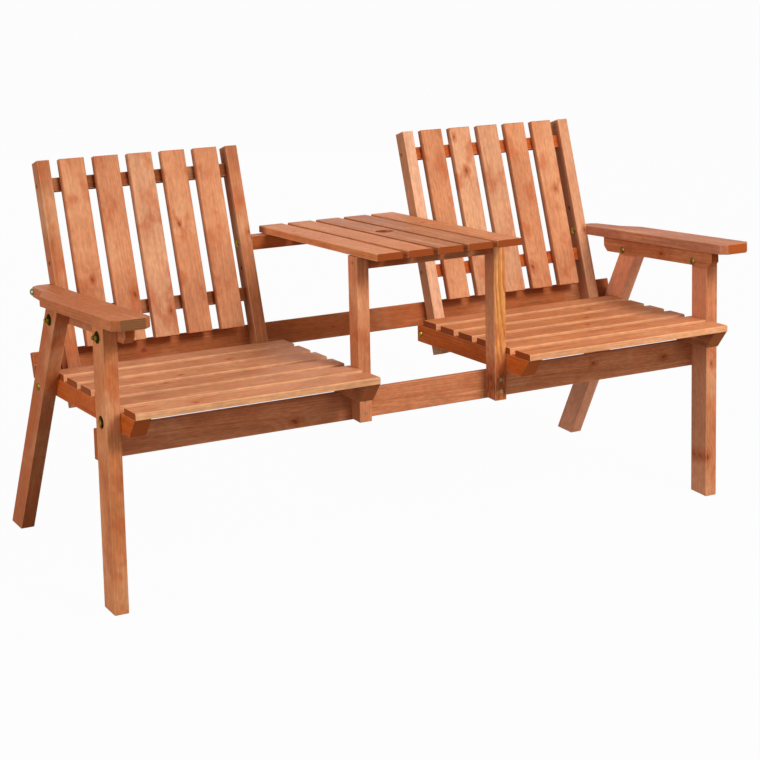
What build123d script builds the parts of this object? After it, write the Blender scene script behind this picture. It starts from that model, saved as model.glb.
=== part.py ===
from build123d import *
import math
import os

# A garden bench for two with a table between the seats, in planed and stained fir.
# X runs along the bench, Y runs to the back, Z is up. The origin is on the ground, in the middle.
# Places seen from the side are (Y, Z), with Y from the front face of the front legs at the ground.

# Legs
legs_width = 1604.0
leg_thickness = 32.5
leg_depth = 59.0
leg_lean_angle = 3.83
rear_leg_angle = 24.9
rear_leg_reach = 612.0

# Seats
seat_rail_thickness = 36.0
seat_rail_height = 43.0
seat_angle = 3.4
seat_rail_top = 433.0
seat_rail_overhang = 48.0
seat_rail_nose = 34.0
seat_rail_tail = 15.6
seat_slats = 6
seat_slat_width = 60.5
seat_slat_thickness = 15.0
seat_slat_overhang = 50.0
seat_slat_inset = 0.5

# Backs
back_angle = 20.9
post_width = 30.0
post_depth = 38.0
post_above_bolt = 509.0
post_below_bolt = 56.5
back_slats = 5
back_slat_gap = 23.3
back_slat_thickness = 16.0
back_slat_rise = 74.0
batten_height = 31.0
batten_thickness = 20.0
batten_from_top = 55.0
batten_from_foot = 78.0
rear_rail_height = 57.0
rear_rail_thickness = 16.0
rear_rail_inset = 4.0

# Arms
arm_angle = 5.71
arm_top = 648.4
arm_thickness = 24.0
arm_width = 85.0
arm_overhang = 62.0
arm_tail = 16.6
arm_corner = 15.0
arm_neck_start = 160.0
arm_neck_end = 104.0
arm_neck_width = 60.0
arm_tail_width = 49.0
arm_tail_corner = 14.0
arm_nut_seat = 44.0
arm_rail_thickness = 21.0
arm_rail_height = 39.0
arm_rail_start = 1.0
arm_rail_tail = 83.0
arm_rail_clip = 14.0
arm_bolt_rise = 9.5

# Table
table_gap = 328.0
table_post_width = 31.0
table_post_depth = 40.0
table_post_foot = 322.0
table_top = 716.2
table_angle = 4.46
table_boards = 5
table_board_width = 64.0
table_board_gap = 13.75
table_board_thickness = 16.0
table_overhang = 16.0
table_tail = 32.0
parasol_hole = 44.0
parasol_reach = 297.0
crossbar_height = 29.0
crossbar_depth = 30.0
crossbar_setback = 5.0
table_rail_height = 34.0
table_rail_depth = 30.0
apron_height = 66.5
apron_thickness = 16.0

# Edges and fits
edge_radius = 2.0
slat_edge_radius = 3.0
fit = 0.3
bolt_fit = 0.4

# Bolt holes, for M8 bolts with hexagon nuts on washers
bolt_diameter = 8.0
recess_diameter = 28.0
recess_depth = 5.0
arm_nut_recess = 19.0
table_rail_bolt_reach = 45.0


def slope(angle):
    return math.tan(math.radians(angle))


def stretch(angle):
    # how much longer a level or upright cut through a leaning piece is than a square one
    return 1 / math.cos(math.radians(angle))


def meet(y, lean, z, rise):
    # where the steep line Y = y + lean * Z crosses the flat line Z = z + rise * Y
    at = (y + lean * z) / (1 - lean * rise)
    return at, z + rise * at


# Slopes of the faces seen from the side
leg_lean = slope(leg_lean_angle)
rear_lean = -slope(rear_leg_angle)
back_lean = slope(back_angle)
seat_fall = -slope(seat_angle)
arm_fall = -slope(arm_angle)
table_fall = -slope(table_angle)

# Places of those faces, where they cross the ground or the front
leg_foot = leg_depth * stretch(leg_lean_angle)
table_post_front = leg_foot - table_post_depth * stretch(leg_lean_angle)
rear_leg_half = leg_depth * stretch(rear_leg_angle) / 2
rear_leg_front = rear_leg_reach - rear_leg_half
rear_leg_back = rear_leg_reach + rear_leg_half
arm_under = arm_top - arm_thickness * stretch(arm_angle)
arm_middle = (arm_top + arm_under) / 2
arm_rail_under = arm_under - arm_rail_height * stretch(arm_angle)
seat_rail_under = seat_rail_top - seat_rail_height * stretch(seat_angle)
seat_rail_middle = (seat_rail_top + seat_rail_under) / 2
table_under = table_top - table_board_thickness * stretch(table_angle)
table_rail_middle = table_under - table_rail_height * stretch(table_angle) / 2
crossbar_middle = table_under - crossbar_height * stretch(table_angle) / 2

# Faces across the bench, from the middle outwards
table_post_inner = table_gap / 2
table_post_outer = table_post_inner + table_post_width
inner_rail_outer = table_post_outer + seat_rail_thickness
inner_post_outer = inner_rail_outer + post_width
leg_outer = legs_width / 2
leg_inner = leg_outer - leg_thickness
arm_rail_inner = leg_inner - arm_rail_thickness
outer_rail_inner = leg_inner - seat_rail_thickness
outer_post_inner = outer_rail_inner - post_width
arm_outer = outer_rail_inner + arm_width
leg_centre = (leg_outer + leg_inner) / 2
table_post_centre = (table_post_inner + table_post_outer) / 2

# The depth from the arms' front ends to the rear feet is centred on the origin
arm_tilt = math.radians(arm_angle)
arm_nose = arm_overhang * math.cos(arm_tilt) + arm_thickness * math.sin(arm_tilt)
front_y = (arm_nose - rear_leg_back) / 2

# Bolt places seen from the side
front_arm_bolt = meet(leg_foot / 2, leg_lean, arm_rail_under + arm_bolt_rise, arm_fall)
rear_arm_bolt = meet(rear_leg_reach, rear_lean, arm_rail_under + arm_bolt_rise, arm_fall)
front_seat_bolt = meet(leg_foot / 2, leg_lean, seat_rail_middle, seat_fall)
rear_seat_bolt = meet(rear_leg_reach, rear_lean, seat_rail_middle, seat_fall)

# The back posts lean about the rear seat bolt
post_centre = rear_seat_bolt[0] - back_lean * rear_seat_bolt[1]
post_front = post_centre - post_depth * stretch(back_angle) / 2
arm_edge_bolt = meet(post_centre, back_lean, arm_middle, arm_fall)
table_rail_bolt = meet(post_centre, back_lean, table_rail_middle, table_fall)
post_bolts = [rear_seat_bolt, arm_edge_bolt, table_rail_bolt]

# Rear ends of the rails, the arm boards and the table boards, past the bolts that hold them there
seat_rail_end = rear_seat_bolt[0] * stretch(seat_angle) + seat_rail_tail
arm_rail_end = rear_arm_bolt[0] * stretch(arm_angle) + arm_rail_tail
arm_end = arm_edge_bolt[0] * stretch(arm_angle) + arm_tail
table_end = table_rail_bolt[0] * stretch(table_angle) + table_tail


def side_plane(x):
    # the upright plane at x, with Y to the back and Z up
    return Plane(origin=(x, front_y, 0), x_dir=(0, 1, 0), z_dir=(1, 0, 0))


def across(x, place, way):
    # a place on a face at x that looks along X, to the right or with way at minus one to the left
    return Plane(origin=(x, front_y + place[0], place[1]), x_dir=(0, 1, 0), z_dir=(way, 0, 0))


def falling_plane(z, angle):
    # a plane that falls to the back from the height z at the front legs
    tilt = math.radians(angle)
    return Plane(origin=(0, front_y, z), x_dir=(1, 0, 0), z_dir=(0, math.sin(tilt), math.cos(tilt)))


def leaning_plane(place, angle):
    # a plane through a place that looks to the front and leans back
    tilt = math.radians(angle)
    normal = (0, -math.cos(tilt), math.sin(tilt))
    return Plane(origin=(0, front_y + place[0], place[1]), x_dir=(1, 0, 0), z_dir=normal)


def from_side(plane, y, depth):
    # a place at y up or along a plane and at a depth behind it, seen from the side
    point = plane.from_local_coords((0, y, -depth))
    return point.Y - front_y, point.Z


arm_plane = falling_plane(arm_top, arm_angle)
seat_plane = falling_plane(seat_rail_top, seat_angle)
table_plane = falling_plane(table_under, table_angle)
back_plane = leaning_plane(rear_seat_bolt, back_angle).offset(post_depth / 2)
batten_plane = back_plane.offset(-back_slat_thickness)
rear_rail_plane = back_plane.offset(-post_depth)

# The apron stands behind the legs and the table posts, under the seat rails
apron_plane = leaning_plane(meet(leg_foot, leg_lean, seat_rail_under - fit, seat_fall), leg_lean_angle)

# The last seat slat ends at the back posts, and the gaps between the slats are even
seat_slat_limit = meet(post_front, back_lean, seat_rail_top, seat_fall)[0] * stretch(seat_angle) - fit
seat_slat_pitch = (seat_slat_limit + seat_slat_overhang - seat_slat_width) / (seat_slats - 1)
back_slat_room = outer_post_inner - inner_post_outer
back_slat_width = (back_slat_room - (back_slats + 1) * back_slat_gap) / back_slats
table_board_pitch = table_board_width + table_board_gap

# The rear rail stands just over the line where the posts' back faces pass the rear legs
rail_at = rear_rail_plane.origin
rail_line = rail_at.Y - front_y - back_lean * rail_at.Z
rail_crossing = (rear_leg_back - rail_line) / (back_lean - rear_lean)
rear_rail_foot = (rail_crossing - rail_at.Z) * stretch(back_angle) + fit

# Battens and crossbars seen from the side
batten_rows = {"upper": post_above_bolt - batten_from_top, "lower": back_slat_rise + batten_from_foot}
crossbar_front = meet(table_post_front, leg_lean, crossbar_middle, table_fall)[0] * stretch(table_angle)
crossbar_start = crossbar_front + crossbar_setback
table_rail_centre = table_rail_bolt[0] * stretch(table_angle)
table_rail_centre -= table_rail_height * slope(table_angle) / 2

sides = {"left": -1, "right": 1}
bolt_hole = bolt_diameter / 2 + bolt_fit
finished = []


def keep(piece, name):
    piece.part.label = name
    finished.append(piece.part)


def drill(places, depth=None):
    # bolt holes right through the piece, or as deep as the bolt bites
    with Locations(*places):
        Hole(radius=bolt_hole, depth=depth)


def recess(place, diameter, depth):
    # a bolt hole with a round recess for its washer and nut
    with Locations(place):
        CounterBoreHole(radius=bolt_hole, counter_bore_radius=diameter / 2, counter_bore_depth=depth)


def plank(outline, x, thickness):
    # a plank cut to an outline seen from the side, with its long edges rounded
    with BuildSketch(side_plane(x)) as profile:
        with BuildLine():
            Polyline(*outline, close=True)
        make_face()
    shape = extrude(profile.sketch, amount=thickness)
    fillet(shape.edges().filter_by(Axis.X, reverse=True).sort_by(SortBy.LENGTH)[-4:], radius=edge_radius)


def board(plane, start, finish, thickness, radius, rounded=2):
    # a straight board between two corners on the plane that it lies on, with the long edges rounded
    # that lie away from the plane, or with rounded at 4 all four of them
    with BuildSketch(plane) as face:
        with Locations(((start[0] + finish[0]) / 2, (start[1] + finish[1]) / 2)):
            Rectangle(abs(finish[0] - start[0]), abs(finish[1] - start[1]))
    shape = extrude(face.sketch, amount=thickness)
    edges = shape.edges().sort_by(SortBy.LENGTH)[-4:]
    edges = edges.sort_by(lambda edge: abs(plane.to_local_coords(edge.center()).Z))
    fillet(edges[-rounded:], radius=radius)


# Front legs, bolted to the arm rails and the outer seat rails
front_leg_outline = [
    (0, 0),
    (leg_foot, 0),
    meet(leg_foot, leg_lean, arm_under, arm_fall),
    meet(0, leg_lean, arm_under, arm_fall),
]
for name, side in sides.items():
    with BuildPart() as front_leg:
        plank(front_leg_outline, side * leg_inner, side * leg_thickness)
        drill([across(side * leg_outer, front_arm_bolt, side)])
        recess(across(side * leg_outer, front_seat_bolt, side), recess_diameter, recess_depth)
    keep(front_leg, f"front_leg_{name}")

# Rear legs, raked forward under the arms
rear_leg_outline = [
    (rear_leg_front, 0),
    (rear_leg_back, 0),
    meet(rear_leg_back, rear_lean, arm_under, arm_fall),
    meet(rear_leg_front, rear_lean, arm_under, arm_fall),
]
for name, side in sides.items():
    with BuildPart() as rear_leg:
        plank(rear_leg_outline, side * leg_inner, side * leg_thickness)
        places = [rear_arm_bolt, rear_seat_bolt]
        drill([across(side * leg_outer, place, side) for place in places])
    keep(rear_leg, f"rear_leg_{name}")

# Arm boards, clipped at the front and necked down to the back posts
arm_front = -arm_overhang
arm_outline = [
    (outer_rail_inner + arm_corner, arm_front),
    (arm_outer - arm_corner, arm_front),
    (arm_outer, arm_front + arm_corner),
    (arm_outer, arm_end - arm_neck_start),
    (outer_rail_inner + arm_neck_width, arm_end - arm_neck_end),
    (outer_rail_inner + arm_tail_width, arm_end - arm_tail_corner),
    (outer_rail_inner + arm_tail_width - arm_tail_corner, arm_end),
    (outer_rail_inner, arm_end),
    (outer_rail_inner, arm_front + arm_corner),
]
for name, side in sides.items():
    with BuildPart() as arm_board:
        with BuildSketch(arm_plane):
            with BuildLine():
                Polyline(*[(side * x, y) for x, y in arm_outline], close=True)
            make_face()
        extrude(amount=-arm_thickness)
        fillet(arm_board.faces().sort_by(SortBy.AREA)[-2:].edges(), radius=edge_radius)
        recess(across(side * arm_outer, arm_edge_bolt, side), arm_nut_recess, arm_width - arm_nut_seat)
    keep(arm_board, f"arm_board_{name}")

# Arm rails, clipped at their lower corners
arm_rail_plane = falling_plane(arm_under, arm_angle)
arm_rail_outline = [
    from_side(arm_rail_plane, -arm_rail_start, 0),
    from_side(arm_rail_plane, -arm_rail_start, arm_rail_height - arm_rail_clip),
    from_side(arm_rail_plane, -arm_rail_start + arm_rail_clip, arm_rail_height),
    from_side(arm_rail_plane, arm_rail_end - arm_rail_clip, arm_rail_height),
    from_side(arm_rail_plane, arm_rail_end, arm_rail_height - arm_rail_clip),
    from_side(arm_rail_plane, arm_rail_end, 0),
]
for name, side in sides.items():
    with BuildPart() as arm_rail:
        plank(arm_rail_outline, side * arm_rail_inner, side * arm_rail_thickness)
        places = [front_arm_bolt, rear_arm_bolt]
        drill([across(side * leg_inner, place, side) for place in places])
    keep(arm_rail, f"arm_rail_{name}")

# Seat rails, two under each seat, with a raked nose
seat_rail_outline = [
    from_side(seat_plane, -seat_rail_overhang, 0),
    from_side(seat_plane, seat_rail_nose - seat_rail_overhang, seat_rail_height),
    from_side(seat_plane, seat_rail_end, seat_rail_height),
    from_side(seat_plane, seat_rail_end, 0),
]
for name, side in sides.items():
    with BuildPart() as outer_rail:
        plank(seat_rail_outline, side * outer_rail_inner, side * seat_rail_thickness)
        places = [front_seat_bolt, rear_seat_bolt]
        drill([across(side * leg_inner, place, side) for place in places])
    keep(outer_rail, f"seat_rail_{name}_outer")
    with BuildPart() as inner_rail:
        plank(seat_rail_outline, side * table_post_outer, side * seat_rail_thickness)
        drill([across(side * inner_rail_outer, rear_seat_bolt, side)])
    keep(inner_rail, f"seat_rail_{name}_inner")

# Seat slats
slat_start = table_post_outer + seat_slat_inset
slat_finish = leg_inner - seat_slat_inset
for name, side in sides.items():
    for row in range(seat_slats):
        front = row * seat_slat_pitch - seat_slat_overhang
        with BuildPart() as seat_slat:
            board(
                seat_plane,
                (side * slat_start, front),
                (side * slat_finish, front + seat_slat_width),
                seat_slat_thickness,
                slat_edge_radius,
            )
        keep(seat_slat, f"seat_slat_{name}_{row + 1}")

# Back posts, all four drilled alike, each with one cross hole left empty
post_starts = {"inner": inner_rail_outer, "outer": outer_post_inner}
for name, side in sides.items():
    for where, start in post_starts.items():
        end = start + post_width
        with BuildPart() as back_post:
            board(
                back_plane,
                (side * start, -post_below_bolt),
                (side * end, post_above_bolt),
                -post_depth,
                edge_radius,
                rounded=4,
            )
            drill([across(side * end, place, side) for place in post_bolts])
        keep(back_post, f"back_post_{name}_{where}")

# Back slats, flush with the fronts and the tops of the posts
for name, side in sides.items():
    for row in range(back_slats):
        start = inner_post_outer + back_slat_gap + row * (back_slat_width + back_slat_gap)
        with BuildPart() as back_slat:
            board(
                batten_plane,
                (side * start, back_slat_rise),
                (side * (start + back_slat_width), post_above_bolt),
                back_slat_thickness,
                edge_radius,
            )
        keep(back_slat, f"back_slat_{name}_{row + 1}")

# Battens behind the back slats, between the posts
for name, side in sides.items():
    for where, row in batten_rows.items():
        with BuildPart() as batten:
            board(
                batten_plane,
                (side * inner_post_outer, row - batten_height / 2),
                (side * outer_post_inner, row + batten_height / 2),
                -batten_thickness,
                edge_radius,
            )
        keep(batten, f"back_batten_{name}_{where}")

# Rear rail across the backs of the posts
with BuildPart() as rear_rail:
    board(
        rear_rail_plane,
        (rear_rail_inset - leg_outer, rear_rail_foot),
        (leg_outer - rear_rail_inset, rear_rail_foot + rear_rail_height),
        -rear_rail_thickness,
        edge_radius,
        rounded=4,
    )
keep(rear_rail, "rear_rail")

# Apron behind the front legs and the table posts
with BuildPart() as front_apron:
    board(
        apron_plane,
        (-leg_outer, -apron_height),
        (leg_outer, 0),
        -apron_thickness,
        edge_radius,
        rounded=4,
    )
keep(front_apron, "front_apron")

# Table posts
table_post_outline = [
    (table_post_front + leg_lean * table_post_foot, table_post_foot),
    (leg_foot + leg_lean * table_post_foot, table_post_foot),
    meet(leg_foot, leg_lean, table_under, table_fall),
    meet(table_post_front, leg_lean, table_under, table_fall),
]
for name, side in sides.items():
    with BuildPart() as table_post:
        plank(table_post_outline, side * table_post_inner, side * table_post_width)
    keep(table_post, f"table_post_{name}")

# Front crossbar between the table posts
with BuildPart() as crossbar:
    board(
        table_plane,
        (-table_post_inner, crossbar_start),
        (table_post_inner, crossbar_start + crossbar_depth),
        -crossbar_height,
        edge_radius,
    )
keep(crossbar, "table_crossbar")

# Rear rail of the table, between the inner back posts
with BuildPart() as table_rail:
    board(
        table_plane,
        (-inner_rail_outer, table_rail_centre - table_rail_depth / 2),
        (inner_rail_outer, table_rail_centre + table_rail_depth / 2),
        -table_rail_height,
        edge_radius,
    )
    places = [across(side * inner_post_outer, table_rail_bolt, side) for side in sides.values()]
    drill(places, post_width + table_rail_bolt_reach)
keep(table_rail, "table_rear_rail")

# Table boards, the middle one bored for a parasol
for row in range(table_boards):
    centre = (row - (table_boards - 1) / 2) * table_board_pitch
    with BuildPart() as table_board:
        board(
            table_plane,
            (centre - table_board_width / 2, -table_overhang),
            (centre + table_board_width / 2, table_end),
            table_board_thickness,
            slat_edge_radius,
        )
        if row == table_boards // 2:
            top = table_plane.offset(table_board_thickness).location
            with Locations(top * Pos(0, parasol_reach - table_overhang)):
                Hole(radius=parasol_hole / 2)
    keep(table_board, f"table_board_{row + 1}")


os.makedirs("parts", exist_ok=True)
for shape in finished:
    export_step(shape, f"parts/{shape.label}.step")
print(len(finished), "pieces")
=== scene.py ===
# %% [markdown]
# A garden bench with a table between its two seats, in planed fir with a red-brown stain.
# The boards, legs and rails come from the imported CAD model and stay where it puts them. What is left
# for Blender is the look of the wood, board by board, and the small fasteners: carriage bolts,
# washers, nuts and wood screws in yellow-zinc steel. Nothing on the bench moves, so every piece
# rides on the one body, root.

# %% The frame and what it measures
import itertools
import math
import random

import bpy
from mathutils import Matrix, Vector


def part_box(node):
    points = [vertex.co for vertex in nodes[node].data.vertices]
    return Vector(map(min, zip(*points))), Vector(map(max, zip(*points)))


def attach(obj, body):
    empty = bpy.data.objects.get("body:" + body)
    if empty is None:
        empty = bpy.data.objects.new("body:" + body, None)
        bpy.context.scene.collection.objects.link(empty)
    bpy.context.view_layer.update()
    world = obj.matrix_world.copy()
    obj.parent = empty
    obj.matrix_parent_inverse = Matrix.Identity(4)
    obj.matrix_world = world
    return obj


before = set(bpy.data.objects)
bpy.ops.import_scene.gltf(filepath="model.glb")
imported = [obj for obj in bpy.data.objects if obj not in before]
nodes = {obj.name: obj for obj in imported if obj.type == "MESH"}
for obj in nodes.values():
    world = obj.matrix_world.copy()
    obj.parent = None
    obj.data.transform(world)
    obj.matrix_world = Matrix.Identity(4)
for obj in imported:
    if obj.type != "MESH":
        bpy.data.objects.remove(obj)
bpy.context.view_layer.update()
mm = 0.001
print("boards and rails:", len(nodes))

# %% [markdown]
# The camera stands in front of the bench and to its left, at eye height, as the real one did. Its
# place and turn were worked out from the bench's straight edges. A camera looks down its own minus Z,
# and it could be turned by three angles, but here its three axes are written as the columns of a turn
# matrix, which leaves no doubt about the order of rotations. The picture was cropped after it was
# taken, so its middle lies below the point that the lens looks at, and the frame is shifted down.

# %% Camera
camera_place = Vector((-2.2240, -3.8694, 1.6432))
camera_yaw = math.radians(29.82)
camera_pitch = math.radians(12.58)
camera_roll = math.radians(0.66)
lens_mm = 92.2
sensor_mm = 36.0
frame_shift = -0.171
bench_middle = Vector((0, 0, 0.4))

forward = Vector(
    (
        math.sin(camera_yaw) * math.cos(camera_pitch),
        math.cos(camera_yaw) * math.cos(camera_pitch),
        -math.sin(camera_pitch),
    )
)
level = Vector((math.cos(camera_yaw), -math.sin(camera_yaw), 0))
rise = level.cross(forward)
right = level * math.cos(camera_roll) + rise * math.sin(camera_roll)
up = rise * math.cos(camera_roll) - level * math.sin(camera_roll)

lens = bpy.data.cameras.new("camera")
lens.lens = lens_mm
lens.sensor_width = sensor_mm
lens.shift_y = frame_shift
camera = bpy.data.objects.new("camera", lens)
turn = Matrix((right, up, -forward)).transposed()
camera.matrix_world = Matrix.Translation(camera_place) @ turn.to_4x4()
bpy.context.scene.collection.objects.link(camera)
bpy.context.scene.camera = camera
bpy.context.scene.view_settings.view_transform = "Standard"
print("camera", round((camera_place - bench_middle).length, 2), "m from the bench")

# %% [markdown]
# Colours are picked as sRGB hex values, as a paint chart gives them, and one function turns them to
# the linear values that a shader works in. One more small function adds a node, with its settings
# and its links, so that a material reads from top to bottom like a recipe.


# %% Colour and node helpers
def colour(code):
    # the curve and its numbers are the sRGB standard's own
    channels = [int(code[i : i + 2], 16) / 255 for i in (1, 3, 5)]
    linear = [c / 12.92 if c <= 0.04045 else ((c + 0.055) / 1.055) ** 2.4 for c in channels]
    return (*linear, 1.0)


def add(tree, kind, inputs, **settings):
    # adds a node; an input is a value or the socket that is linked to it
    node = tree.nodes.new(kind)
    for key, value in settings.items():
        setattr(node, key, value)
    for key, value in inputs.items():
        if isinstance(value, bpy.types.NodeSocket):
            tree.links.new(value, node.inputs[key])
        else:
            node.inputs[key].default_value = value
    return node


def material(name):
    made = bpy.data.materials.new(name)
    made.use_nodes = True
    made.node_tree.nodes.clear()
    return made, made.node_tree


print("middle grey in linear light:", [round(c, 3) for c in colour("#808080")[:3]])

# %% [markdown]
# The studio is a white sweep. The floor has to look white and still carry the bench's soft shadow, so
# the camera, mirrors and glass see its pale paint mixed with a plain white glow, while the light
# itself meets the paint alone. The world does the same: white to look at, and a softer grey as light.


# %% What is only looked at
def looked_at(tree):
    # 1 where the camera, a mirror or glass looks, and 0 where only light arrives
    rays = add(tree, "ShaderNodeLightPath", {})
    seen = rays.outputs["Is Camera Ray"]
    for kind in ("Is Glossy Ray", "Is Transmission Ray"):
        either = {0: seen, 1: rays.outputs[kind]}
        seen = add(tree, "ShaderNodeMath", either, operation="MAXIMUM").outputs[0]
    return seen


# %% Floor
floor_size = 60.0
floor_paint = "#858381"
floor_glow = 0.975
white = (1, 1, 1, 1)

bpy.ops.mesh.primitive_plane_add(size=floor_size, location=(0, 0, 0))
floor = bpy.context.object
floor.name = "studio_floor"
paint, tree = material("white_studio_paper")
matt = add(tree, "ShaderNodeBsdfDiffuse", {"Color": colour(floor_paint)})
glow = add(tree, "ShaderNodeEmission", {"Color": white, "Strength": 1.0})
share = add(tree, "ShaderNodeMath", {0: looked_at(tree), 1: floor_glow}, operation="MULTIPLY")
both = {0: share.outputs[0], 1: matt.outputs[0], 2: glow.outputs[0]}
mixed = add(tree, "ShaderNodeMixShader", both)
add(tree, "ShaderNodeOutputMaterial", {"Surface": mixed.outputs[0]})
floor.data.materials.append(paint)
print("floor", floor_size, "m, glow", floor_glow)

# %% World
world_light = 0.31

world = bpy.data.worlds.new("studio")
world.use_nodes = True
tree = world.node_tree
tree.nodes.clear()
levels = {"Value": looked_at(tree), "To Min": world_light, "To Max": 1.0}
strength = add(tree, "ShaderNodeMapRange", levels)
sky = add(tree, "ShaderNodeBackground", {"Color": white, "Strength": strength.outputs[0]})
add(tree, "ShaderNodeOutputWorld", {"Surface": sky.outputs[0]})
bpy.context.scene.world = world
print("sky", world_light)

# %% [markdown]
# Four softboxes aim at the middle of the bench. A small key, high in front on the right, gives the
# shadows their edges. One beside it, lower down, lights what faces forward, a broad fill far to the
# left lights the bench's end, and a broad weak one behind keeps the backs from going dark. One bare
# lamp would be simpler, but the wood's satin needs something wide to shine in.

# %% Lamps, each with its place, its width in metres and its power in watts
lamps = {
    "key": (Vector((1.3, -3.3, 3.7)), 1.5, 176.0),
    "front": (Vector((2.4, -3.5, 2.2)), 1.6, 38.0),
    "fill": (Vector((-7.5, -1.5, 3.0)), 4.4, 320.0),
    "back": (Vector((1.5, 4.5, 1.6)), 3.0, 40.0),
}
lamp_target = Vector((0.0, 0.1, 0.5))
for name, (place, width, power) in lamps.items():
    lamp = bpy.data.lights.new(name, "AREA")
    lamp.size = width
    lamp.energy = power
    box = bpy.data.objects.new(name, lamp)
    box.location = place
    box.rotation_euler = (place - lamp_target).to_track_quat("Z", "Y").to_euler()
    bpy.context.scene.collection.objects.link(box)
    print(name, power, "W")

# %% [markdown]
# A plank keeps the tree's build: rings round a pith that mostly lies outside it, fibres along it, and
# knots where branches grew out. Painted boards could use one flat pattern, but here each board shows
# three kinds of face, so the pattern is solid: every point asks how far it is from the pith's line.
# Long faces cut the rings at a glance and give arched figure, edges give stripes, and the ends give
# arcs, all from one rule. The pattern needs to know which way each board lies, so its grain direction
# and the direction its wide face looks are given by family.

# %% How the grain runs in each family of boards
leg_lean = 3.83
rear_leg_rake = 24.9
back_lean = 20.9
arm_fall = 5.71
seat_fall = 3.4
table_fall = 4.46


def leaning(angle):
    # up and back by an angle from the plumb line, or forward where it is negative
    return Vector((0, math.sin(math.radians(angle)), math.cos(math.radians(angle))))


def falling(angle):
    # to the back and down by an angle from the level
    return Vector((0, math.cos(math.radians(angle)), -math.sin(math.radians(angle))))


along_bench = Vector((1, 0, 0))
families = {
    "front_leg": (leaning(leg_lean), -falling(leg_lean)),
    "rear_leg": (leaning(-rear_leg_rake), along_bench),
    "arm_board": (falling(arm_fall), leaning(arm_fall)),
    "arm_rail": (falling(arm_fall), along_bench),
    "seat_rail": (falling(seat_fall), along_bench),
    "seat_slat": (along_bench, leaning(seat_fall)),
    "back_post": (leaning(back_lean), -falling(back_lean)),
    "back_slat": (leaning(back_lean), -falling(back_lean)),
    "back_batten": (along_bench, -falling(back_lean)),
    "rear_rail": (along_bench, -falling(back_lean)),
    "front_apron": (along_bench, -falling(leg_lean)),
    "table_post": (leaning(leg_lean), -falling(leg_lean)),
    "table_crossbar": (along_bench, -falling(leg_lean)),
    "table_rear_rail": (along_bench, -falling(table_fall)),
    "table_board": (falling(table_fall), leaning(table_fall)),
}


def family_of(name):
    return max((key for key in families if name.startswith(key)), key=len)


print({key: sum(family_of(name) == key for name in nodes) for key in families})

# %% [markdown]
# Planed fir under a thin red-brown stain. Late wood, the hard outer line of each ring, comes out a
# little darker, the stain dries in rust-coloured blotches and dusty clouds, knots are small and soft,
# and the open ends drink the most. A photographed wood texture would be the quick way, but it would
# show the same board again and again. Rings are about 3.6 mm apart. The fibres and pores are far finer
# than a pixel, so they are drawn as streaks 2.6 mm wide, which still reads as planed softwood.

# %% Real sizes of rings, streaks and blotches
ring_pitch = 3.6 * mm
ring_wobble = 8.0 * mm
wobble_size = 75.0 * mm
streak_width = 2.6 * mm
band_width = 11.0 * mm
mottle_size = 7.0 * mm
blotch_size = 48.0 * mm
cloud_size = 150.0 * mm
print("rings", ring_pitch / mm, "mm, streaks", streak_width / mm, "mm")

# %% How fast each changes with the grain, where 1 is as fast as across it
fibre_draw = 0.03
figure_draw = 0.12
mottle_draw = 0.4
blotch_draw = 0.7
print("streaks are about", round(1 / fibre_draw), "times as long as wide")

# %% The stain's colours, light wood first and late wood second
stains = {
    "plain": ("#CB855B", "#A25A36"),
    "beige": ("#CF936C", "#A8663F"),
    "pale": ("#EEA27C", "#C07450"),
    "sand": ("#E0A884", "#B87C58"),
    "warm": ("#CC7C4B", "#A0532A"),
    "rosy": ("#BA785A", "#8E4E30"),
    "brown": ("#B66F46", "#8A4622"),
    "rusty": ("#BA693C", "#8A4622"),
    "chestnut": ("#B35F31", "#7E3C18"),
    "russet": ("#A85A2E", "#7C3816"),
    "umber": ("#86461F", "#5C2A10"),
    "orange": ("#CA7D53", "#9A4C24"),
    "burnt": ("#C05A1E", "#8C3C12"),
    "honey": ("#E09A58", "#C06626"),
}
rust = "#B55F36"
dusty = "#CF9A70"
# this pale tone is also the painted highlight along the arrises and on the seat slats' narrow sides
edge_pale = "#E2A97C"
orange_ends = ("#B4581F", "#83380F")
dark_ends = ("#9E4A1C", "#6E2E0E")
grey_ends = ("#8E5C38", "#5E3A20")
knot_halo = "#A8522A"
knot_heart = "#6A3014"
print("stains:", ", ".join(stains))

# %% [markdown]
# A board's pattern starts from its own axes. Unwrapping each board would lay a flat pattern on it, but
# the figure would break at every arris. So Object coordinates are turned until X runs with the grain
# and Z out of the wide face, and are then slid far away, to another place for each board, so that no
# two boards read the same part of a noise.


# %% Where a point lies in its board
def lie_of(tree, name, along, face, slide):
    # metres with the grain, across it and out of the wide face, and the board's half sizes
    axes = Matrix((along, face.cross(along), face))
    corners = [axes @ v.co for v in nodes[name].data.vertices]
    low = Vector([min(corner[i] for corner in corners) for i in range(3)])
    high = Vector([max(corner[i] for corner in corners) for i in range(3)])
    middle = (low + high) / 2
    where = add(tree, "ShaderNodeTexCoord", {})
    board = add(
        tree,
        "ShaderNodeMapping",
        {"Vector": where.outputs["Object"], "Location": slide - middle, "Rotation": axes.to_euler()},
    )
    return board.outputs[0], where.outputs["Normal"], (high - low) / 2


# %% [markdown]
# Fibres, mottle, blotches and clouds are what the eye takes for wood before it sees a ring. Each is a
# noise that changes slowly with the grain and fast across it. One noise with much detail could give
# them all, but they are drawn out by different amounts, so each has a noise of its own.

# %% Noises, drawn out along the grain
patterns = {
    "streak": (fibre_draw, streak_width, 2.0),
    "band": (fibre_draw, band_width, 3.0),
    "mottle": (mottle_draw, mottle_size, 4.0),
    "blotch": (blotch_draw, blotch_size, 6.0),
    "cloud": (1, cloud_size, 2.0),
    "wobble": (figure_draw, wobble_size, 2.0),
}


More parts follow.
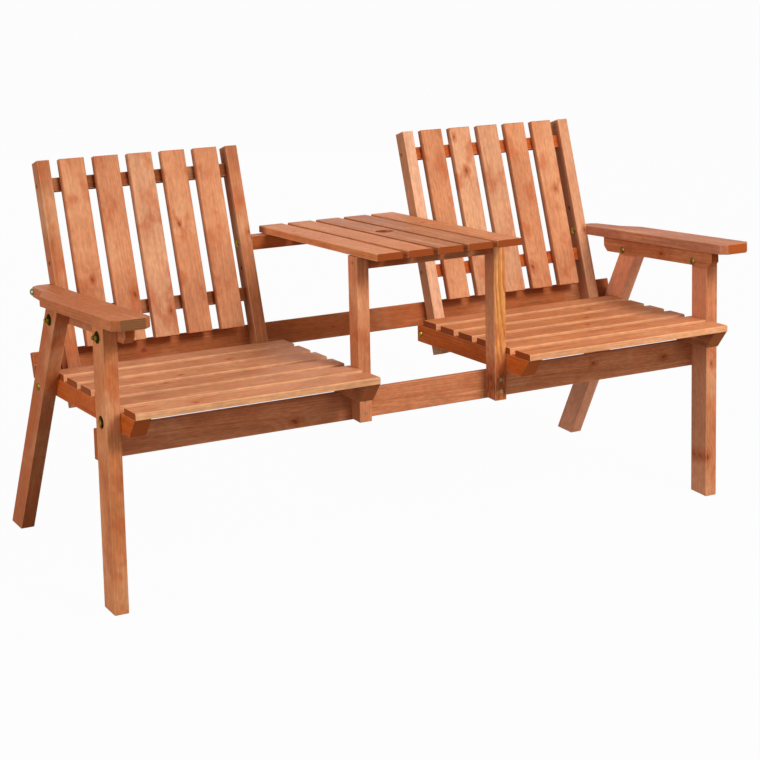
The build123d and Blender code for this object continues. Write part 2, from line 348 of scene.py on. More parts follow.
def noises_in(tree, board):
    # a pattern gives its speed with the grain, its size across the grain and its detail
    grain = {}
    for key, (pull, size, detail) in patterns.items():
        drawn = add(tree, "ShaderNodeVectorMath", {0: board, 1: (pull, 1, 1)}, operation="MULTIPLY")
        field = {"Vector": drawn.outputs[0], "Scale": 1 / size, "Detail": detail}
        grain[key] = add(tree, "ShaderNodeTexNoise", field).outputs[0]
    return grain


print("noises:", ", ".join(patterns))

# %% [markdown]
# A knot is the foot of a branch: a small dark heart, a rusty halo, and rings that swell round it. A
# painted spot would do for the colour, but the rings would run straight through it. So the distance to
# the nearest knot is worked out once, and both the rings and the colours use it.

# %% Knots, where the branches were
knot_stretch = 0.62
no_knot = 99.0


def knots_in(tree, board, slide, places):
    # how many of its own radii away the nearest knot is; a knot is longer with the grain
    near = no_knot
    for u, v, radius in places:
        reach = Vector((knot_stretch, 1, 0)) / (radius * mm)
        spot = Vector((-(slide.x + u * mm) * reach.x, -(slide.y + v * mm) * reach.y, 0))
        oval = add(tree, "ShaderNodeMapping", {"Vector": board, "Location": spot, "Scale": reach})
        away = add(tree, "ShaderNodeVectorMath", {0: oval.outputs[0]}, operation="LENGTH")
        nearer = {0: away.outputs["Value"], 1: near}
        near = add(tree, "ShaderNodeMath", nearer, operation="MINIMUM").outputs[0]
    return near


print("a knot is", round(1 / knot_stretch, 1), "times as long as it is wide")

# %% Rings round the pith
pith_side = 35.0
pith_below = (18.0, 60.0)
pith_skew_across = 0.022
pith_skew_up = 0.018
swell_reach = 7.0
knot_swell = 9.0 * mm


def rings_in(tree, board, slide, draw, wobble, near):
    # how far a point is through its year's ring, from 0 to 1: the distance from the pith's line,
    # stirred a little, swollen round the knots and counted in rings
    pith = slide + Vector((0, draw.uniform(-pith_side, pith_side), -draw.uniform(*pith_below))) * mm
    skew = draw.uniform(-pith_skew_across, pith_skew_across), draw.uniform(-pith_skew_up, pith_skew_up)
    axis = Vector((1, *skew)).normalized()
    around = {"Value": near, "From Max": swell_reach, "To Min": knot_swell, "To Max": 0.0}
    swell = add(tree, "ShaderNodeMapRange", around).outputs[0]
    out = add(tree, "ShaderNodeVectorMath", {0: board, 1: pith}, operation="SUBTRACT")
    side = add(tree, "ShaderNodeVectorMath", {0: out.outputs[0], 1: axis}, operation="CROSS_PRODUCT")
    reach = add(tree, "ShaderNodeVectorMath", {0: side.outputs[0]}, operation="LENGTH").outputs["Value"]
    for value, share in ((wobble, ring_wobble), (swell, 1.0)):
        stirred = {0: value, 1: share, 2: reach}
        reach = add(tree, "ShaderNodeMath", stirred, operation="MULTIPLY_ADD").outputs[0]
    count = add(tree, "ShaderNodeMath", {0: reach, 1: ring_pitch}, operation="DIVIDE")
    return add(tree, "ShaderNodeMath", {0: count.outputs[0]}, operation="FRACT").outputs[0]


print("the pith lies", pith_below[0], "to", pith_below[1], "mm behind the middle of a board")

# %% [markdown]
# Stain goes on in thin layers, over rings and blotches alike. Along the arrises it is paler or darker
# than on the faces, partly from wear and partly as a painted highlight where the rounded edges catch
# the light, and some boards' narrow sides get a colour of their own as painted light and shade. A map
# painted by hand could hold all this, but not for 53 boards. So each layer is a colour with a soft
# mask, and an arris is where two faces of the board are near at once.

# %% Which way the surface faces
def facing(tree, looks, direction):
    # 1 where the surface looks along the direction or against it, and 0 where it is side on
    dot = add(tree, "ShaderNodeVectorMath", {0: looks, 1: direction}, operation="DOT_PRODUCT")
    return add(tree, "ShaderNodeMath", {0: dot.outputs["Value"]}, operation="ABSOLUTE").outputs[0]


# %% Wear and painted highlight along the arrises, which begin at one distance from the edge and are full at the other
arris_width = 2.4 * mm
arris_core = 0.6 * mm


def arris_of(tree, board, slide, half):
    # on a flat face one of the three distances is at its limit, and on an edge two are
    off = add(tree, "ShaderNodeVectorMath", {0: board, 1: slide}, operation="SUBTRACT")
    size = add(tree, "ShaderNodeVectorMath", {0: off.outputs[0]}, operation="ABSOLUTE")
    parts = add(tree, "ShaderNodeSeparateXYZ", {0: size.outputs[0]})
    wear_and_sheen = -1.0
    for letter, limit in zip("XYZ", half):
        span = {"From Min": limit - arris_width, "From Max": limit - arris_core}
        close = add(tree, "ShaderNodeMapRange", {"Value": parts.outputs[letter], **span})
        wear_and_sheen = add(tree, "ShaderNodeMath", {0: close.outputs[0], 1: wear_and_sheen}, operation="ADD").outputs[0]
    return wear_and_sheen


print("an arris shows from", arris_width / mm, "mm away")


# %% Masks and layers of stain
def soft_masks(tree, spans):
    # a span is what the mask reads, where it starts and finishes, and its values there
    masks = {}
    for key, (value, start, finish, bottom, top) in spans.items():
        limits = {"Value": value, "From Min": start, "From Max": finish, "To Min": bottom, "To Max": top}
        masks[key] = add(tree, "ShaderNodeMapRange", limits, interpolation_type="SMOOTHSTEP").outputs[0]
    return masks


def stain_over(tree, wood, layers):
    # lays colours over the wood, the first one lowest, each as strong as its share
    for share, code in layers:
        layer = {0: share, 6: wood, 7: colour(code)}
        wood = add(tree, "ShaderNodeMix", layer, data_type="RGBA").outputs[2]
    return wood


# %% [markdown]
# Planed fir isn't quite flat: its fibres stand up a little, and you feel the late wood and the knots.
# That could be modelled, but it is far too fine for a mesh, so a bump gives it. The solids are rounded
# along their long edges and sharp at the boards' ends, where a Bevel node softens the shading.

# %% Relief, and edges that are eased in the shading
late_relief = 0.35
knot_relief = 0.8
relief_strength = 0.35
relief_depth = 0.4 * mm
arris_round = 1.8 * mm
arris_samples = 4


def relief_on(tree, fibres, late, heart):
    # the fibres raise the surface most, a knot's heart nearly as much and late wood a third as much
    height = fibres
    for value, share in ((late, late_relief), (heart, knot_relief)):
        raised = {0: value, 1: share, 2: height}
        height = add(tree, "ShaderNodeMath", raised, operation="MULTIPLY_ADD").outputs[0]
    eased = add(tree, "ShaderNodeBevel", {"Radius": arris_round}, samples=arris_samples)
    depth = {"Strength": relief_strength, "Distance": relief_depth}
    bump = add(tree, "ShaderNodeBump", {"Height": height, "Normal": eased.outputs[0], **depth})
    return bump.outputs[0]


print("relief", relief_depth / mm, "mm, arrises eased by", arris_round / mm, "mm")


# %% Stained fir, from the pith outwards
log_spread = 9.0
knot_ragged = 2.4
satin_ior = 1.5
satin_gloss = 0.1


def stained_fir(
    name, along, face, seed, stain, knots,
    figure=0.22, clouding=1.0, streaks=1.0,
    arris=(edge_pale, 0.3), side_light_shade=(edge_pale, 0.0), ends=orange_ends,
):
    # figure, clouding and streaks say how strongly rings, blotches and streaks show; arris is the colour
    # and share of wear and painted highlight on the edges, the argument after it is the colour and share
    # of painted light and shade on a board's narrow sides, and ends are two colours
    draw = random.Random(seed)
    made, tree = material("stained_fir_" + name)
    slide = Vector((draw.uniform(-log_spread, log_spread), draw.uniform(-log_spread, log_spread), 0))
    board, looks, half = lie_of(tree, name, along, face, slide)
    near = knots_in(tree, board, slide, knots)
    grain = noises_in(tree, board)
    year = rings_in(tree, board, slide, draw, grain["wobble"], near)
    frayed = {0: grain["mottle"], 1: knot_ragged, 2: near}
    ragged = add(tree, "ShaderNodeMath", frayed, operation="MULTIPLY_ADD").outputs[0]

    masks = soft_masks(tree, {
        "growing": (year, 0.25, 0.90, 0.0, 1.0),
        "resting": (year, 0.90, 1.0, 1.0, 0.0),
        "dusty": (grain["cloud"], 0.50, 0.30, 0.0, 0.45 * clouding),
        "rust": (grain["blotch"], 0.50, 0.68, 0.0, 0.65 * clouding),
        "dark": (grain["band"], 0.56, 0.80, 0.0, 0.55 * streaks),
        "pale": (grain["band"], 0.40, 0.24, 0.0, 0.45 * streaks),
        "fibre": (grain["streak"], 0.32, 0.68, 1 - 0.12 * streaks, 1 + 0.09 * streaks),
        "speck": (grain["mottle"], 0.32, 0.68, 0.90, 1.08),
        "drift": (grain["cloud"], 0.30, 0.70, 1.07, 0.92),
        "halo": (ragged, 1.8, 5.0, 0.75, 0.0),
        "heart": (ragged, 1.6, 2.3, 0.65, 0.0),
        # painted light and shade: a board's narrow sides take their own colour by the way they face
        "side_light_shade": (facing(tree, looks, face.cross(along)), 0.35, 0.85, 0.0, side_light_shade[1]),
        "sawn": (facing(tree, looks, along), 0.60, 0.90, 0.0, 1.0),
        "gloss": (grain["streak"], 0.30, 0.70, 0.55, 0.70),
    })
    both = {0: masks["growing"], 1: masks["resting"]}
    late = add(tree, "ShaderNodeMath", both, operation="MULTIPLY").outputs[0]
    drawn_in = add(tree, "ShaderNodeMath", {0: late, 1: figure}, operation="MULTIPLY").outputs[0]
    # wear and a painted highlight: the arrises turn paler or darker where the rounded edges catch the
    # light
    edge_wear_and_light = {0: arris_of(tree, board, slide, half), 1: arris[1]}
    wear_and_sheen = add(tree, "ShaderNodeMath", edge_wear_and_light, operation="MULTIPLY", use_clamp=True).outputs[0]

    # the colour, from bare wood to the last layer of stain, and then the open ends
    light, dark = stains[stain]
    wood = stain_over(tree, colour(light), (
        (drawn_in, dark),
        (masks["dusty"], dusty),
        (masks["rust"], rust),
        (masks["dark"], dark),
        (masks["pale"], edge_pale),
        (masks["side_light_shade"], side_light_shade[0]),
    ))
    for key in ("fibre", "speck", "drift"):
        shaded = {0: wood, 3: masks[key]}
        wood = add(tree, "ShaderNodeVectorMath", shaded, operation="SCALE").outputs[0]
    over_all = ((masks["halo"], knot_halo), (masks["heart"], knot_heart), (wear_and_sheen, arris[0]))
    wood = stain_over(tree, wood, over_all)
    sawn_rings = {0: late, 6: colour(ends[0]), 7: colour(ends[1])}
    cut = add(tree, "ShaderNodeMix", sawn_rings, data_type="RGBA").outputs[2]
    wood = add(tree, "ShaderNodeMix", {0: masks["sawn"], 6: wood, 7: cut}, data_type="RGBA").outputs[2]

    satin = add(
        tree,
        "ShaderNodeBsdfPrincipled",
        {
            "Base Color": wood,
            "Roughness": masks["gloss"],
            "IOR": satin_ior,
            "Specular IOR Level": satin_gloss,
            "Normal": relief_on(tree, grain["streak"], late, masks["heart"]),
        },
    )
    add(tree, "ShaderNodeOutputMaterial", {"Surface": satin.outputs[0]})
    return made


print("knots, arrises and stain are ready")

# %% [markdown]
# Each board was cut from another part of the log and stained by hand. One material for all of them
# would be less work, but neighbours would then match too well, so each gets its own seed, and the
# boards that stand out are given by name: the honey-coloured table post with its wild figure, the
# golden edge of the front slat, which is a painted highlight, and the left back's battens, made dark
# as painted shade from the slats in front of them. The narrow sides of a few boards are tinted as
# painted light and shade, and the rear right leg's pale stain paints in the light that falls on it.
# Knots are given as millimetres from a board's middle, with the grain and across it, and a radius.
# Boards without any get a small one now and then.

# %% The boards that stand out
special = {
    # its pale narrow sides are painted light
    "table_post_right": {"stain": "honey", "figure": 0.85, "side_light_shade": ("#DC9268", 0.9)},
    "table_post_left": {"stain": "orange"},
    "table_crossbar": {"stain": "russet"},
    "table_rear_rail": {"stain": "chestnut", "clouding": 0.4},
    # the front slat's golden front edge is a painted highlight
    "seat_slat_left_1": {"side_light_shade": ("#DCA676", 0.6)},
    "front_leg_left": {"stain": "warm"},
    # its pale narrow sides are painted light
    "front_leg_right": {"stain": "orange", "side_light_shade": ("#D48E68", 0.8)},
    # the pale stain also paints in the light that falls on this leg
    "rear_leg_right": {"stain": "pale", "clouding": 0.2},
    "rear_leg_left": {"stain": "chestnut"},
    "arm_board_left": {"stain": "rusty", "clouding": 0.2, "ends": grey_ends},
    "arm_board_right": {"stain": "rosy", "clouding": 0.6},
    "arm_rail_left": {"stain": "brown"},
    "arm_rail_right": {"stain": "brown", "clouding": 0.3},
    "back_slat_left_3": {"stain": "beige"},
    "back_slat_right_2": {"stain": "beige"},
    "back_slat_right_3": {"stain": "beige"},
    "back_post_left_inner": {"stain": "brown"},
    # the darker narrow sides of these two posts are painted shade
    "back_post_right_inner": {"stain": "sand", "clouding": 0.2, "side_light_shade": ("#A8602F", 0.6)},
    "back_post_right_outer": {"stain": "beige", "clouding": 0.3, "side_light_shade": ("#B86E48", 0.6)},
    # umber here is painted shade: the slats in front shade these battens
    "back_batten_left_upper": {"stain": "umber"},
    "back_batten_left_lower": {"stain": "umber"},
    "back_batten_right_upper": {"stain": "burnt", "clouding": 0.4},
    "back_batten_right_lower": {"stain": "burnt", "clouding": 0.4},
    "front_apron": {"stain": "orange", "clouding": 0.5},
    "rear_rail": {"stain": "russet", "clouding": 0.5},
    "seat_rail_left_outer": {"stain": "burnt", "clouding": 0.2},
    "seat_rail_left_inner": {"stain": "brown", "clouding": 0.3},
    "seat_rail_right_inner": {"stain": "burnt", "clouding": 0.2},
    "seat_rail_right_outer": {"stain": "brown", "clouding": 0.3},
}
print("boards with a look of their own:", len(special))

# %% What a family has in common
by_family = {
    # the seat slats' pale narrow sides are a painted highlight where they face the light
    "seat_slat": {"side_light_shade": (edge_pale, 0.55), "clouding": 0.6, "ends": dark_ends},
    # the table boards' strong pale arris is a painted highlight on their rims
    "table_board": {"figure": 0.4, "clouding": 0.4, "arris": (edge_pale, 0.6), "ends": dark_ends},
    "back_slat": {"stain": "plain", "streaks": 0.4, "arris": (rust, 0.5)},
    "back_post": {"streaks": 0.7},
    "rear_leg": {"streaks": 0.6},
    "front_leg": {"streaks": 0.75},
}
print("families with a look of their own:", ", ".join(by_family))

# %% Knots, and how often a plain board gets a small one
knot_places = {
    "back_slat_right_2": ((105, 1, 4.5), (194, 20, 3.5)),
    "back_slat_right_4": ((-161, 20, 4.5),),
    "back_slat_right_5": ((35, -10, 4.0),),
    "back_slat_left_3": ((-161, -18, 3.5),),
    "back_slat_left_4": ((-113, -20, 4.0),),
    "back_slat_left_5": ((-67, -6, 3.5),),
    "rear_rail": ((-35, -4, 4.5), (-532, 1, 5.5), (420, 8, 4.0)),
    "front_apron": ((-337, -17, 5.5), (471, 10, 4.5), (682, 0, 4.5)),
    "front_leg_right": ((-212, 12, 4.5), (25, 2, 3.0)),
    "arm_rail_right": ((-21, -3, 3.5),),
    "table_post_right": ((-150, 2, 21.0),),
    "seat_slat_left_3": ((-126, 20, 3.0),),
    "seat_slat_left_5": ((90, -8, 3.5),),
}
knot_chance = 0.35
small_knot = ((-150, 150), (-15, 15), (2.0, 3.5))
print("knots placed by hand:", sum(len(places) for places in knot_places.values()))

# %% Dressing every board
common_stains = ("plain", "beige", "brown", "plain")
table_stains = ("warm", "brown")
first_draw = 7

for number, name in enumerate(sorted(nodes)):
    family = family_of(name)
    along, face = families[family]
    draw = random.Random(number + first_draw)
    look = {"stain": common_stains[draw.randrange(len(common_stains))], "knots": ()}
    if family == "seat_slat":
        look["stain"] = "warm" if "right" in name else "plain"
    if family == "table_board":
        look["stain"] = table_stains[draw.randrange(len(table_stains))]
    if draw.random() < knot_chance:
        look["knots"] = (tuple(draw.uniform(*span) for span in small_knot),)
    look.update(by_family.get(family, {}))
    look.update(special.get(name, {}))
    look["knots"] = knot_places.get(name, look["knots"])
    finish = stained_fir(name, along, face, seed=number, **look)
    for slot in nodes[name].material_slots:
        slot.material = finish
print("stained fir on", len(nodes), "boards")

# %% [markdown]
# Yellow-zinc steel is what most garden furniture is bolted with: mild steel, zinc plated and then
# passivated in chromate, which leaves a thin film that shifts from straw to olive. It is a metal, so
# its colour goes in the base colour with metallic at 1, and the film's drift is a soft noise between
# two hues. The plating is bright but not polished, so roughness sits near a third. One shade could do
# for all, but they differ: the bolts and nuts are the most golden, the washers a dark olive, the
# screws at the battens' ends the same dark olive as painted shade for their deep, shadowed holes,
# and the other screws and the cap nuts the palest.

# %% Yellow-zinc steel
film_size = 9.0 * mm
film_detail = 2.0
film_span = {"From Min": 0.35, "From Max": 0.65}
gloss_span = {"From Min": 0.3, "From Max": 0.7, "To Min": 0.26, "To Max": 0.44}
glance_tint = "#A8A578"


def yellow_zinc(name, light, deep):
    made, tree = material(name)
    where = add(tree, "ShaderNodeTexCoord", {})
    field = {"Vector": where.outputs["Object"], "Scale": 1 / film_size, "Detail": film_detail}
    drift = add(tree, "ShaderNodeTexNoise", field).outputs[0]
    spread = add(tree, "ShaderNodeMapRange", {"Value": drift, **film_span}).outputs[0]
    hues = {0: spread, 6: colour(light), 7: colour(deep)}
    film = add(tree, "ShaderNodeMix", hues, data_type="RGBA").outputs[2]
    wear_and_sheen = add(tree, "ShaderNodeMapRange", {"Value": drift, **gloss_span}).outputs[0]
    # the film keeps its colour at a flat angle, where bare steel would mirror the white studio
    steel = add(
        tree,
        "ShaderNodeBsdfPrincipled",
        {"Base Color": film, "Metallic": 1.0, "Roughness": wear_and_sheen, "Specular Tint": colour(glance_tint)},
    )
    add(tree, "ShaderNodeOutputMaterial", {"Surface": steel.outputs[0]})
    return made


bright_zinc = yellow_zinc("yellow_zinc_bright", "#A08640", "#5E562A")
# dark olive on the washers, and painted shade on the screws in the battens' deep, shadowed holes
olive_zinc_and_shade = yellow_zinc("yellow_zinc_olive", "#43462A", "#2A2D18")
screw_zinc = yellow_zinc("yellow_zinc_screw", "#989274", "#5C5B42")
print("three shades of yellow zinc")

# %% [markdown]
# The fasteners go where the CAD model is bored. Their places could be typed in, but read from the
# model they stay right when it changes. On a bored face the only close rings of points are the rims
# of the holes: points nearer to each other than a few millimetres are gathered into groups, and a
# group with many points is a rim, whose middle is the bolt's axis.

# %% Where the holes are
rim_points = 16
rim_step = 2.6 * mm
face_slack = 0.1 * mm


def holes(name, x):
    # the middles of the round holes on the face at x, from the lowest to the highest
    on_face = [v.co for v in nodes[name].data.vertices if abs(v.co.x - x) < face_slack]
    points = {(round(corner.y, 5), round(corner.z, 5)) for corner in on_face}
    groups = []
    while points:
        group = [points.pop()]
        for point in group:
            near = {p for p in points if math.dist(p, point) < rim_step}
            points -= near
            group.extend(near)
        groups.append(group)
    middles = []
    for group in groups:
        if len(group) >= rim_points:
            ys, zs = zip(*group)
            middles.append(((min(ys) + max(ys)) / 2, (min(zs) + max(zs)) / 2))
    return sorted(middles, key=lambda place: place[1])


def outer_face(name, side):
    low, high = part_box(name)
    return high.x if side > 0 else low.x


def inner_face(name, side):
    return outer_face(name, -side)


for name in ("front_leg_left", "rear_leg_left", "back_post_left_inner"):
    print(name, holes(name, outer_face(name, -1)))

# %% [markdown]
# A carriage bolt has a low dome for a head and a plain shank. It is turned from one flat cylinder: the
# top is drawn up ring by ring along a ball's curve, which a bevel would leave flat in the middle, and
# the underside is inset to the shank's width and pulled out to its length. A nut is a six-sided
# cylinder with its rims eased and a hole bridged through it, a washer is made the same way from a
# round one, and a cap nut is a round barrel with a low dome. A wood screw's shank is out of sight, so
# only its head is made. Each is modelled once at the origin with its axis up, and its copies are
# turned and moved in the mesh, so that every finished object stays at the origin.

# %% Sizes of the fasteners
bolt_radius = 4.0 * mm
head_radius = 8.5 * mm
head_rim = 0.8 * mm
head_dome = 3.8 * mm
washer_radius = 13.0 * mm
washer_hole = 4.2 * mm
washer_thickness = 1.8 * mm
nut_across = 13.0 * mm
nut_hole = 3.8 * mm
nut_height = 6.5 * mm
cap_radius = 8.3 * mm
cap_barrel = 7.0 * mm
cap_dome = 4.6 * mm
ease = 0.5 * mm
washer_ease = 0.4 * mm
print("bolts", bolt_radius / mm * 2, "mm thick, washers", washer_radius / mm * 2, "mm wide")

# %% Starting a shape and picking its parts
soft_angle = math.radians(40)
touch = 0.01 * mm


def start_cylinder(sides, radius, depth):
    # a cylinder that stands on the origin, alone in edit mode with nothing selected
    bpy.ops.object.select_all(action="DESELECT")
    half_way = (0, 0, depth / 2)
    bpy.ops.mesh.primitive_cylinder_add(vertices=sides, radius=radius, depth=depth, location=half_way)
    piece = bpy.context.object
    bpy.ops.object.transform_apply(location=True)
    bpy.ops.object.mode_set(mode="EDIT")
    bpy.ops.mesh.select_all(action="DESELECT")
    return piece


def pick(piece, kind, test):
    # selects the faces or edges whose middle passes the test; the select mode comes first, because
    # edit mode drops a face's mark where it still goes by vertices
    bpy.ops.mesh.select_mode(type=kind)
    bpy.ops.mesh.select_all(action="DESELECT")
    bpy.ops.object.mode_set(mode="OBJECT")
    mesh = piece.data
    if kind == "FACE":
        for part in mesh.polygons:
            part.select = test(part.center)
    else:
        for part in mesh.edges:
            start, end = (mesh.vertices[i].co for i in part.vertices)
            part.select = test((start + end) / 2)
    bpy.ops.object.mode_set(mode="EDIT")


def finish_shape():
    bpy.ops.mesh.select_all(action="SELECT")
    bpy.ops.mesh.normals_make_consistent(inside=False)
    bpy.ops.object.mode_set(mode="OBJECT")
    bpy.ops.object.shade_smooth_by_angle(angle=soft_angle)


# %% A dome, a bore and a rim
dome_rings = 6


def raise_dome(piece, radius, base, height):
    # draws the flat top at base up into a part of a ball, ring by ring
    ball = (radius**2 + height**2) / (2 * height)
    start = math.asin(radius / ball)
    pick(piece, "FACE", lambda c: c.z > base - touch)
    last_radius, last_height = radius, 0.0
    for step in range(1, dome_rings + 1):
        angle = start * (1 - step / (dome_rings + 1))
        ring_radius = ball * math.sin(angle)
        ring_height = ball * math.cos(angle) - ball + height
        lift = (0, 0, ring_height - last_height)
        bpy.ops.mesh.extrude_region_move(TRANSFORM_OT_translate={"value": lift})
        shrink = ring_radius / last_radius
        bpy.ops.transform.resize(value=(shrink, shrink, 1), center_override=(0, 0, 0))
        last_radius, last_height = ring_radius, ring_height


def bore(piece, depth, thickness):
    # insets both end faces and bridges the two rings into a hole
    pick(piece, "FACE", lambda c: abs(c.z) < touch or abs(c.z - depth) < touch)
    bpy.ops.mesh.inset(thickness=thickness)
    bpy.ops.mesh.bridge_edge_loops()


def near_rim(radius, z):
    # a test for edges that lie at a height and farther out than a radius
    return lambda c: abs(c.z - z) < touch and math.hypot(c.x, c.y) > radius


print("a dome has", dome_rings, "rings")

# %% Carriage bolt
round_sides = 32


def make_bolt(length):
    bolt = start_cylinder(round_sides, head_radius, head_rim)
    raise_dome(bolt, head_radius, head_rim, head_dome)
    pick(bolt, "FACE", lambda c: c.z < touch)
    bpy.ops.mesh.inset(thickness=head_radius - bolt_radius)
    bpy.ops.mesh.extrude_region_move(TRANSFORM_OT_translate={"value": (0, 0, -length)})
    pick(bolt, "EDGE", lambda c: c.z < -length + touch)
    bpy.ops.mesh.bevel(offset=ease, segments=1)
    finish_shape()
    return bolt


print("a bolt's head is", round((head_rim + head_dome) / mm, 1), "mm high")

# %% Washer and nuts
washer_sides = 40
washer_rim = 11.7 * mm
nut_rim = 5.2 * mm


def make_washer():
    disc = start_cylinder(washer_sides, washer_radius, washer_thickness)
    bore(disc, washer_thickness, washer_radius - washer_hole)
    pick(disc, "EDGE", near_rim(washer_rim, washer_thickness))
    bpy.ops.mesh.bevel(offset=washer_ease, segments=2)
    finish_shape()
    return disc


def make_nut():
    corner = nut_across / 2 / math.cos(math.pi / 6)
    hexagon = start_cylinder(6, corner, nut_height)
    bore(hexagon, nut_height, nut_across / 2 - nut_hole)
    pick(hexagon, "EDGE", near_rim(nut_rim, nut_height))
    bpy.ops.mesh.bevel(offset=ease, segments=2)
    finish_shape()
    return hexagon


def make_cap_nut():
    barrel = start_cylinder(round_sides, cap_radius, cap_barrel)
    raise_dome(barrel, cap_radius, cap_barrel, cap_dome)
    finish_shape()
    return barrel


washer = make_washer()
nut = make_nut()
cap_nut = make_cap_nut()
print("faces of the washer", len(washer.data.polygons), "and of the nut", len(nut.data.polygons))

# %% Wood screw, a countersunk head that stands a hair proud, with a round socket for the star
screw_sides = 24
screw_radius = 4.2 * mm
screw_rim = 2.2 * mm
crown_inset = 0.4 * mm
crown_height = 0.35 * mm
socket_inset = 1.9 * mm
socket_depth = 1.6 * mm
screw_sink = 2.3 * mm


def make_screw():
    head = start_cylinder(screw_sides, screw_radius, screw_rim)
    pick(head, "FACE", lambda c: c.z > screw_rim - touch)
    for inset, lift in ((crown_inset, crown_height), (socket_inset, -socket_depth)):
        bpy.ops.mesh.inset(thickness=inset)
        bpy.ops.mesh.extrude_region_move(TRANSFORM_OT_translate={"value": (0, 0, lift)})
    finish_shape()
    for vertex in head.data.vertices:
        vertex.co.z -= screw_sink
    return head


screw = make_screw()
print("faces of the wood screw", len(screw.data.polygons))


# %% Putting a fastener in its place
def put(model, name, place, looks, finish):
    # a copy of a fastener with its own mesh, its axis turned to look along a direction
    piece = bpy.data.objects.new(name, model.data.copy())
    turned = Vector(looks).to_track_quat("Z", "Y").to_matrix().to_4x4()
    piece.data.transform(Matrix.Translation(Vector(place)) @ turned)
    bpy.context.scene.collection.objects.link(piece)
    piece.data.materials.clear()
    piece.data.materials.append(finish)
    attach(piece, "root")


# %% [markdown]
# Every bolt is described by its axis and by the two faces that it clamps: the head lies on the first,
# and a washer and a nut on the second. The rear seat bolts and those of the table's rear rail go in
# from outside, and the others from inside. The front seat bolts end low in their recesses, the arm
# boards are held edgewise with a cap nut in a deep recess, and the bolts of the table's rear rail
# simply run into its ends. One length could serve for all, but then their ends would stand out by
# chance, so each is made as long as its own grip asks.

# %% One bolt with its washer and nut
bolt_end = 4.0 * mm
short_end = 0.5 * mm
cap_bite = 6.0 * mm


def fasten(name, place, head_x, nut_x, ending="nut", past_nut=bolt_end):
    y, z = place
    way = 1 if nut_x > head_x else -1
    grip = abs(nut_x - head_x)
    tail = {"nut": washer_thickness + nut_height + past_nut, "cap": cap_bite, "none": 0.0}[ending]
    model = make_bolt(grip + tail)
    put(model, "bolt_" + name, (head_x, y, z), (-way, 0, 0), bright_zinc)
    bpy.data.objects.remove(model)
    if ending == "nut":
        put(washer, "washer_" + name, (nut_x, y, z), (way, 0, 0), olive_zinc_and_shade)
        put(nut, "nut_" + name, (nut_x + way * washer_thickness, y, z), (way, 0, 0), bright_zinc)
    if ending == "cap":
        put(cap_nut, "cap_nut_" + name, (nut_x, y, z), (way, 0, 0), screw_zinc)


print("a bolt ends", bolt_end / mm, "mm past its nut")

# %% Bolting the frame together
sides = {"left": -1, "right": 1}
recess_depth = 5.0 * mm
arm_nut_seat = 44.0 * mm
table_rail_bite = 45.0 * mm

for side_name, side in sides.items():
    leg_face = outer_face(f"front_leg_{side_name}", side)
    seat_front, arm_front = holes(f"front_leg_{side_name}", leg_face)
    seat_rear, arm_rear = holes(f"rear_leg_{side_name}", leg_face)
    arm_rail = inner_face(f"arm_rail_{side_name}", side)
    fasten(f"arm_front_{side_name}", arm_front, arm_rail, leg_face)
    fasten(f"arm_rear_{side_name}", arm_rear, arm_rail, leg_face)
    seat_rail = inner_face(f"seat_rail_{side_name}_outer", side)
    recess_floor = leg_face - side * recess_depth
    fasten(f"seat_front_{side_name}", seat_front, seat_rail, recess_floor, past_nut=short_end)
    outer_post = f"back_post_{side_name}_outer"
    post_in = inner_face(outer_post, side)
    fasten(f"seat_rear_{side_name}", seat_rear, leg_face, post_in)
    arm_edge = holes(outer_post, post_in)[1]
    arm_nut = inner_face(f"arm_board_{side_name}", side) + side * arm_nut_seat
    fasten(f"arm_edge_{side_name}", arm_edge, post_in, arm_nut, "cap")
    inner_post = f"back_post_{side_name}_inner"
    post_out = outer_face(inner_post, side)
    inner_rail = inner_face(f"seat_rail_{side_name}_inner", side)
    fasten(f"seat_inner_{side_name}", seat_rear, inner_rail, post_out)
    table_rail = holes(inner_post, post_out)[2]
    bolt_tip = inner_face(inner_post, side) - side * table_rail_bite
    fasten(f"table_rail_{side_name}", table_rail, post_out, bolt_tip, "none")

# %% [markdown]
# Wood screws hold what the bolts don't: the apron, the rear rail, the battens and the table's frame.
# They can't be placed by their holes, because a wood screw cuts its own, so each is set on the face
# of the board that it goes through, at a share of the board's width.


# %% Places on a board
def reach_of(name, way):
    # how far a board reaches in a direction
    return max(v.co.dot(way) for v in nodes[name].data.vertices)


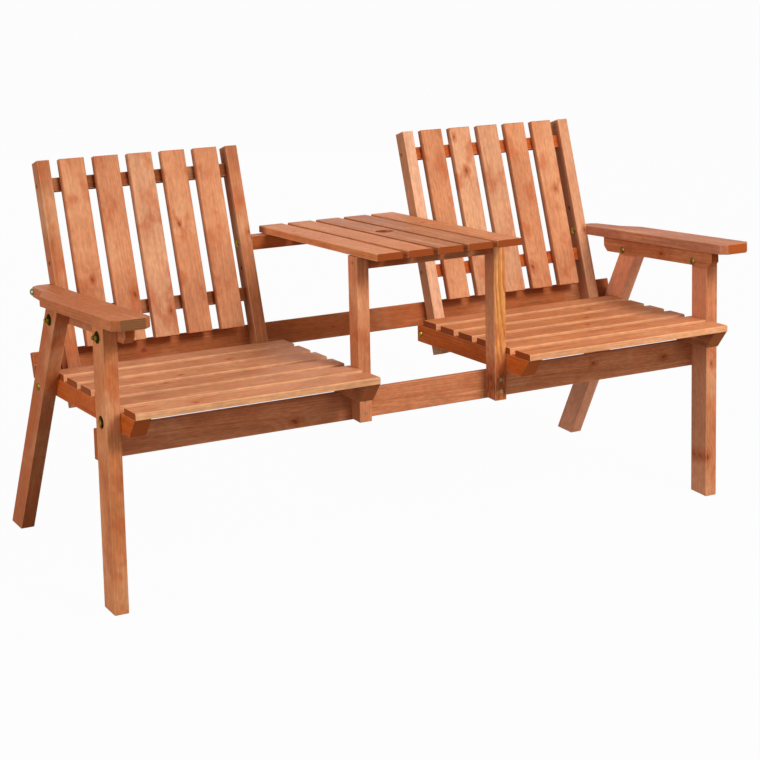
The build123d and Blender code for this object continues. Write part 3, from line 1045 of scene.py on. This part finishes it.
def on_plank(name, face, share, x):
    # a point on the wide face of a leaning plank, at a share of its width
    across = along_bench.cross(face)
    start, end = -reach_of(name, -across), reach_of(name, across)
    return along_bench * x + face * reach_of(name, face) + across * (start + (end - start) * share)


def out_to(name, face, place):
    # the place, moved along face until it lies on the outside of the board
    return place + face * (reach_of(name, face) - place.dot(face))


def middle_of(name):
    low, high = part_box(name)
    return (low + high) / 2


print("the rear rail's middle:", [round(v, 4) for v in middle_of("rear_rail")])

# %% Driving the wood screws
screw_numbers = itertools.count(1)
frame_shares = (0.25, 0.75)
post_shares = (0.265, 0.675)
batten_share = 0.5
slat_shares = (0.3, 0.7)
back_face = falling(back_lean)
front_face = -falling(leg_lean)


def drive(place, looks, finish=screw_zinc):
    put(screw, f"wood_screw_{next(screw_numbers):02d}", place, looks, finish)


for side_name, side in sides.items():
    leg_x = middle_of(f"front_leg_{side_name}").x
    table_post = f"table_post_{side_name}"
    for share, post_share in zip(frame_shares, post_shares):
        for where in ("inner", "outer"):
            post_x = middle_of(f"back_post_{side_name}_{where}").x
            drive(on_plank("rear_rail", back_face, share, post_x), back_face)
        drive(on_plank("front_apron", -front_face, share, leg_x), -front_face)
        over_apron = on_plank("front_apron", front_face, post_share, middle_of(table_post).x)
        drive(out_to(table_post, front_face, over_apron), front_face)
    for height in ("upper", "lower"):
        batten = f"back_batten_{side_name}_{height}"
        y, z = middle_of(batten).yz
        for where, way in (("outer", side), ("inner", -side)):
            post_face = outer_face(f"back_post_{side_name}_{where}", way)
            # these screws take the dark olive zinc as painted shade for their deep, shadowed holes
            drive((post_face, y, z), (way, 0, 0), olive_zinc_and_shade)
        for slat in sorted(name for name in nodes if name.startswith(f"back_slat_{side_name}")):
            low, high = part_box(slat)
            for share in slat_shares:
                x = low.x + (high.x - low.x) * share
                drive(on_plank(batten, back_face, batten_share, x), back_face)
    y, z = middle_of("table_crossbar").yz
    drive((outer_face(table_post, side), y, z), (side, 0, 0))
for model in (washer, nut, cap_nut, screw):
    bpy.data.objects.remove(model)
